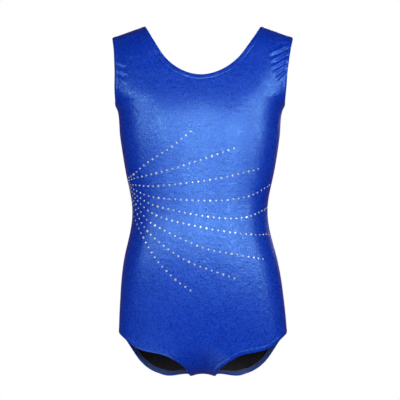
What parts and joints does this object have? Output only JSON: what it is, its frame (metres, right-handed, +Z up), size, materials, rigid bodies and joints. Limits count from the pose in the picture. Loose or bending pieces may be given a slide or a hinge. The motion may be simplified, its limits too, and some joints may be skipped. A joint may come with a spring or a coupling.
{
  "type": "gymnastics leotard",
  "caption": "Sleeveless stretch gymnastics leotard in its worn shape, with scooped neckline, elastic hems and fanned rows of crystal stones.",
  "frame": {"origin": "between the wearer's shoulders, at the middle height of the shoulder straps, on the plane of the side seams", "axes": "+Z up towards the neck, -Y out of the front panel, +X towards the wearer's left side"},
  "size_m": [0.263, 0.1728, 0.512],
  "materials": {
    "foil_fabric": "royal blue metallic foil print on stretch knit, fine grain",
    "lining_knit": "near-black matt knit",
    "elastic": "matt covered elastic",
    "seam_thread": "navy overlock thread",
    "gusset_cotton": "black cotton jersey",
    "label_tape": "plain white satin tape",
    "crystal": "clear faceted flat-back stones with a silver back"
  },
  "bodies": {
    "root": {"front_panel": "foil_fabric", "back_panel": "foil_fabric", "front_lining": "lining_knit", "back_lining": "lining_knit", "neck_elastic": "elastic", "left_armhole_elastic": "elastic", "left_leg_elastic": "elastic", "left_side_seam": "seam_thread", "left_shoulder_seam": "seam_thread", "right_armhole_elastic": "elastic", "right_leg_elastic": "elastic", "right_side_seam": "seam_thread", "right_shoulder_seam": "seam_thread", "crotch_gusset": "gusset_cotton", "crotch_seam": "seam_thread", "care_label": "label_tape", "stone_row_1": "crystal", "stone_row_2": "crystal", "stone_row_3": "crystal", "stone_row_4": "crystal", "stone_row_5": "crystal", "stone_row_6": "crystal", "stone_row_7": "crystal", "stone_row_8": "crystal", "stone_row_9": "crystal"}
  },
  "joints": []
}
